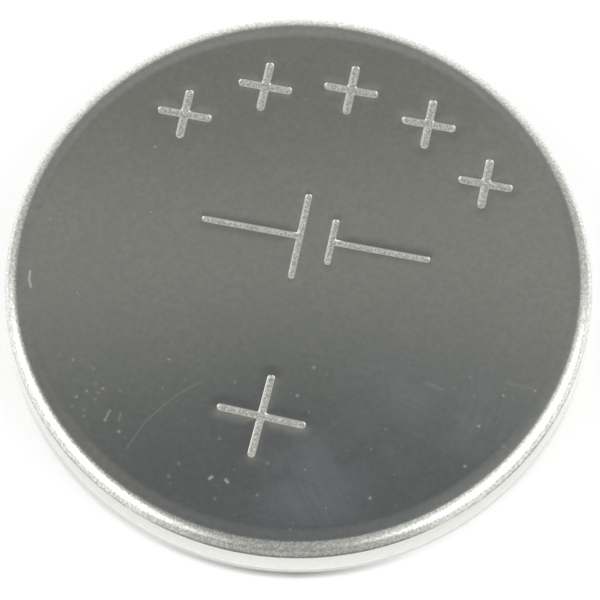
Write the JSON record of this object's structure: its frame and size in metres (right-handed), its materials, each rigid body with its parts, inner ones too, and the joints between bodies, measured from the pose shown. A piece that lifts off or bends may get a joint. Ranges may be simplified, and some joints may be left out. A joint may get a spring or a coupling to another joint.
{
  "type": "lithium coin cell",
  "caption": "Round lithium coin cell: a drawn steel can crimped over a plastic seal and a stepped negative cap, with its electrode stack inside.",
  "frame": {"origin": "centre of the negative face, the plane that the cell rests on", "axes": "+Z is the cell's axis, from the negative face up to the positive face; +Y is the upright direction of the marks on the positive face"},
  "size_m": [0.02, 0.02, 0.0025],
  "materials": {
    "can_steel": "bright rolled stainless steel with a fine drawn grain on its edges, light scratches",
    "cap_steel": "satin stainless steel with faint drawing marks",
    "seal_plastic": "natural translucent polypropylene",
    "lithium_metal": "soft rolled silvery metal, slightly tarnished",
    "separator_felt": "white non-woven fibre sheet",
    "pressed_powder": "pressed black powder, matt with fine grain",
    "mesh_steel": "expanded stainless sheet, dull"
  },
  "bodies": {
    "root": {"positive_can": "can_steel", "negative_cap": "cap_steel", "sealing_gasket": "seal_plastic", "lithium_anode": "lithium_metal", "separator": "separator_felt", "cathode_pellet": "pressed_powder", "collector_mesh": "mesh_steel"}
  },
  "joints": []
}
